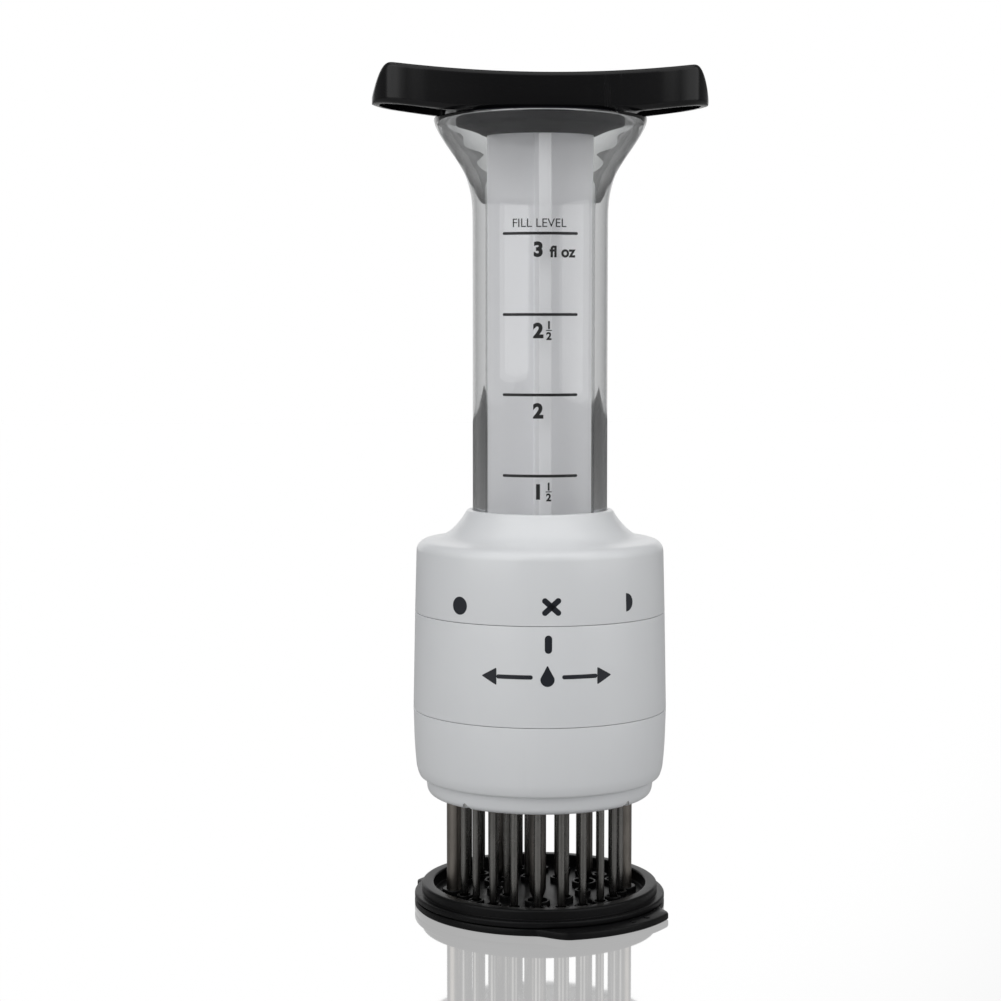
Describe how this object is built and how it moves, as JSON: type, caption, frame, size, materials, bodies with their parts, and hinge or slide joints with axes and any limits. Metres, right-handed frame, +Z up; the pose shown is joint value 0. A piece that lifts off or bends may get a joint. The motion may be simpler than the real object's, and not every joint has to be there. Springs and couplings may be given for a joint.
{
  "type": "meat injector",
  "caption": "Hand meat injector and tenderizer: clear dosing barrel with plunger and bar handle on a white needle housing with a flow selector, above a sprung black needle guard on two posts.",
  "frame": {"origin": "on the barrel axis at the bottom of the lock ring, where the tool stands", "axes": "+Z up along the barrel, +X along the handle, -Y the front with the scale and the selector marks"},
  "size_m": [0.09, 0.0764, 0.227],
  "materials": {
    "white_shell": "satin moulded ABS",
    "white_inner": "plain moulded plastic",
    "clear_barrel": "clear polished plastic",
    "black_handle": "gloss moulded plastic",
    "black_guard": "satin moulded plastic",
    "grey_rod": "semi-clear moulded plastic",
    "rubber_seal": "food-grade silicone rubber",
    "needle_steel": "ground stainless steel",
    "post_steel": "turned stainless steel",
    "screw_steel": "plain stainless steel",
    "spring_steel": "drawn spring wire",
    "bush_plastic": "low-friction plastic"
  },
  "bodies": {
    "needle_housing": {"bottom_ring": "white_shell", "lower_cup": "white_shell", "dial_ring": "white_shell", "spring_bridge": "white_inner", "needle_clamp": "white_inner", "needle_plate": "white_inner", "needle_gasket": "rubber_seal", "valve_rotor": "white_inner", "guide_bushes": "bush_plastic", "housing_screws": "screw_steel", "needle_middle_01": "needle_steel", "needle_middle_02": "needle_steel", "needle_middle_03": "needle_steel", "needle_middle_04": "needle_steel", "needle_middle_05": "needle_steel", "needle_middle_06": "needle_steel", "needle_outer_01": "needle_steel", "needle_outer_02": "needle_steel", "needle_outer_03": "needle_steel", "needle_outer_04": "needle_steel", "needle_outer_05": "needle_steel", "needle_outer_06": "needle_steel", "needle_outer_07": "needle_steel", "needle_outer_08": "needle_steel", "needle_outer_09": "needle_steel", "needle_outer_10": "needle_steel", "needle_outer_11": "needle_steel", "needle_outer_12": "needle_steel", "needle_outer_13": "needle_steel", "needle_outer_14": "needle_steel", "needle_outer_15": "needle_steel", "needle_outer_16": "needle_steel", "needle_outer_17": "needle_steel", "needle_outer_18": "needle_steel", "needle_outer_19": "needle_steel", "needle_outer_20": "needle_steel", "injector_needle_1": "needle_steel", "injector_needle_2": "needle_steel", "injector_needle_3": "needle_steel"},
    "barrel": {"barrel_tube": "clear_barrel", "top_housing": "white_shell", "neck_clip": "screw_steel", "barrel_nut": "white_inner", "valve_seat": "white_inner", "valve_seal": "rubber_seal", "seat_ring": "rubber_seal"},
    "piston": {"piston_head": "white_inner", "piston_cap": "white_inner", "piston_rings": "rubber_seal"},
    "plunger": {"plunger_rod": "grey_rod", "handle_plug": "black_handle", "handle_grip": "black_handle", "handle_screws": "screw_steel"},
    "guard": {"guard_plate": "black_guard", "base_plate": "black_guard", "guide_posts": "post_steel", "post_clips": "screw_steel", "guard_screws": "screw_steel", "return_springs": "spring_steel"},
    "lock": {"lock_ring": "black_guard"}
  },
  "joints": [
    {"name": "flow_selector", "type": "hinge", "parent": "needle_housing", "child": "barrel", "pos_m": [0, 0, 0.08], "axis": [0, 0, 1], "range_deg": [-40, 40]},
    {"name": "plunger_slide", "type": "slide", "parent": "barrel", "child": "piston", "axis": [0, 0, 1], "range_m": [0, 0.17]},
    {"name": "plunger_turn", "type": "hinge", "parent": "piston", "child": "plunger", "pos_m": [0, 0, 0.2], "axis": [0, 0, 1], "continuous": true},
    {"name": "guard_slide", "type": "slide", "parent": "needle_housing", "child": "guard", "axis": [0, 0, 1], "range_m": [0, 0.022], "stiffness_N_per_m": 350, "springref_m": -0.03, "deforming": ["return_springs"]},
    {"name": "lock_turn", "type": "hinge", "parent": "guard", "child": "lock", "pos_m": [0, 0, 0.001], "axis": [0, 0, 1], "range_deg": [0, 15]}
  ]
}
